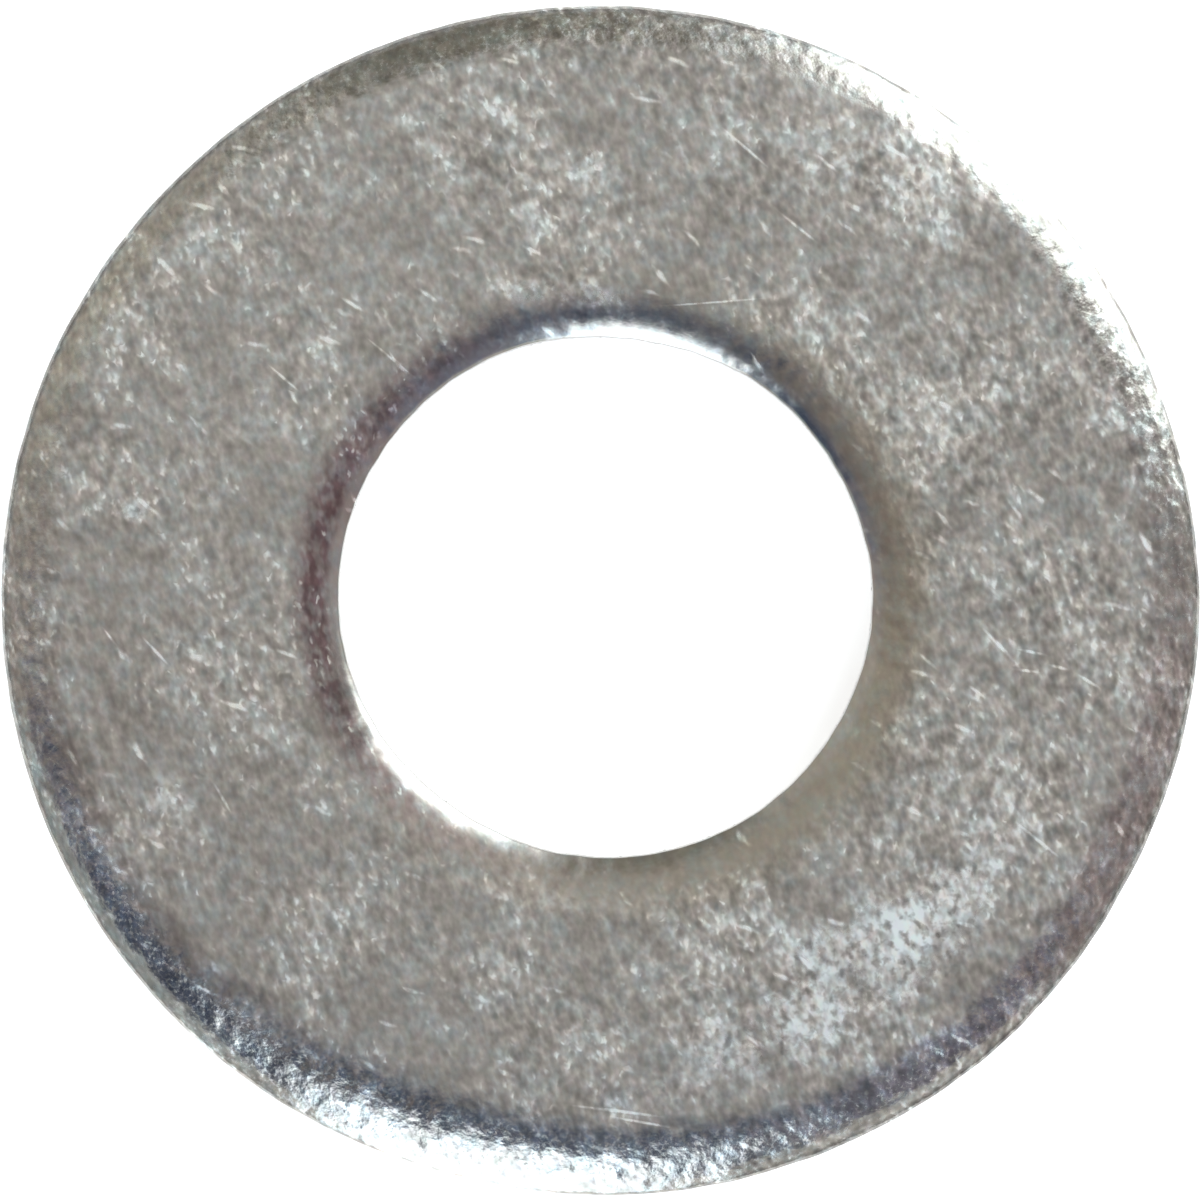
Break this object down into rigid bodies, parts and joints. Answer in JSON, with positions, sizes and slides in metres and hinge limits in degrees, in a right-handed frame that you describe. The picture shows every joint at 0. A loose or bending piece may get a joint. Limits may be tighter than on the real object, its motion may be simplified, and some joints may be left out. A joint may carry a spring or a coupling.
{
  "type": "flat washer",
  "caption": "Plain flat washer in zinc-plated steel, which spreads the load of a bolt head or nut over a surface; rolled-over top edges and a clearance hole.",
  "frame": {"origin": "centre of the hole's axis at the washer's lower face, which is the face with the small burr side of the cut edges", "axes": "+Z along the hole's axis, from the lower face to the face with the rolled-over edges; +X and +Y are any two directions across the ring"},
  "size_m": [0.0254, 0.0254, 0.0021],
  "materials": {
    "zinc_plated_steel": "bright zinc plating over stamped and tumbled low-carbon steel: a soft shine with fine scuffs, short scratches and faint blue, violet and straw tints"
  },
  "bodies": {
    "root": {"washer": "zinc_plated_steel"}
  },
  "joints": []
}
